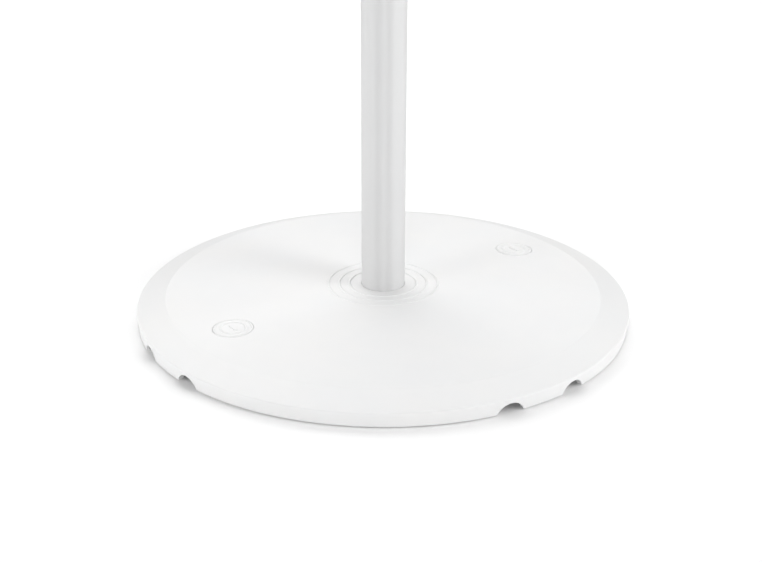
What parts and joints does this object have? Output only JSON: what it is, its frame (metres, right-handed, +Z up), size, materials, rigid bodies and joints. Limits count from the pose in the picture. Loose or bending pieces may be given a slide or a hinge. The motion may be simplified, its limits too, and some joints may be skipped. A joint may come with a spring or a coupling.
{
  "type": "customer pole display",
  "caption": "Free-standing customer display: a round weighted base with cable notches, a slim upright pole, a panning neck and a tilting windowed head.",
  "frame": {"origin": "centre of the plane that the rubber feet rest on, on the pole's axis", "axes": "+Z up along the pole; the window faces -Y; +X runs along the head and the tilt axis"},
  "size_m": [0.2499, 0.2499, 0.4805],
  "materials": {
    "white_base": "satin moulded white",
    "white_pole": "satin white powder coat",
    "white_head": "fine-textured moulded white",
    "white_neck": "satin moulded white",
    "white_bracket": "satin white powder coat",
    "plated_steel": "zinc plated",
    "raw_steel": "cut plate, dull plated",
    "grey_rubber": "soft matt",
    "friction_fibre": "matt fibre",
    "smoked_window": "gloss smoked acrylic",
    "tube_glass": "clear float glass",
    "tube_frame": "sintered glass frit",
    "foam": "closed-cell foam",
    "circuit_board": "solder mask",
    "black_plastic": "moulded black",
    "can_metal": "drawn can",
    "contact_metal": "plated contact"
  },
  "bodies": {
    "base": {"base_cover": "white_base", "base_weight": "raw_steel", "base_screws": "plated_steel", "rubber_foot_1": "grey_rubber", "rubber_foot_2": "grey_rubber", "rubber_foot_3": "grey_rubber", "rubber_foot_4": "grey_rubber", "fixing_cap_left": "white_base", "fixing_cap_right": "white_base", "pole_tube": "white_pole", "pole_foot": "plated_steel", "pole_washer": "plated_steel", "pole_nut": "plated_steel", "pole_bush": "white_neck"},
    "neck": {"neck": "white_neck", "neck_washer": "friction_fibre", "retaining_ring": "plated_steel", "cable_grommet": "grey_rubber"},
    "head": {"hinge_bracket": "white_bracket", "bracket_screws": "plated_steel", "tilt_axle": "plated_steel", "tilt_nut": "plated_steel", "tilt_washer_left": "friction_fibre", "tilt_washer_right": "friction_fibre", "front_bezel": "white_head", "display_window": "smoked_window", "rear_cover": "white_head", "cover_screws": "plated_steel", "vfd_front_glass": "tube_glass", "vfd_cell_frame": "tube_frame", "vfd_back_glass": "tube_glass", "vfd_foam_pad": "foam", "vfd_pins": "contact_metal", "main_board": "circuit_board", "board_screws": "plated_steel", "controller_chip": "black_plastic", "driver_chip_left": "black_plastic", "driver_chip_right": "black_plastic", "memory_chip": "black_plastic", "supply_coil": "black_plastic", "crystal": "can_metal", "capacitors": "can_metal", "interface_socket": "black_plastic", "socket_contacts": "contact_metal", "switch_body": "black_plastic", "switch_terminals": "contact_metal"},
    "rocker": {"power_rocker": "black_plastic"}
  },
  "joints": [
    {"name": "pan", "type": "hinge", "parent": "base", "child": "neck", "pos_m": [0, 0, 0.34259], "axis": [0, 0, 1], "range_deg": [-165, 165]},
    {"name": "tilt", "type": "hinge", "parent": "neck", "child": "head", "pos_m": [0, 0, 0.37099], "axis": [-1, 0, 0], "range_deg": [-10, 35]},
    {"name": "power_rocker_press", "type": "hinge", "parent": "head", "child": "rocker", "pos_m": [-0.072, 0.021, 0.43549], "axis": [1, 0, 0], "range_deg": [0, 16]}
  ]
}
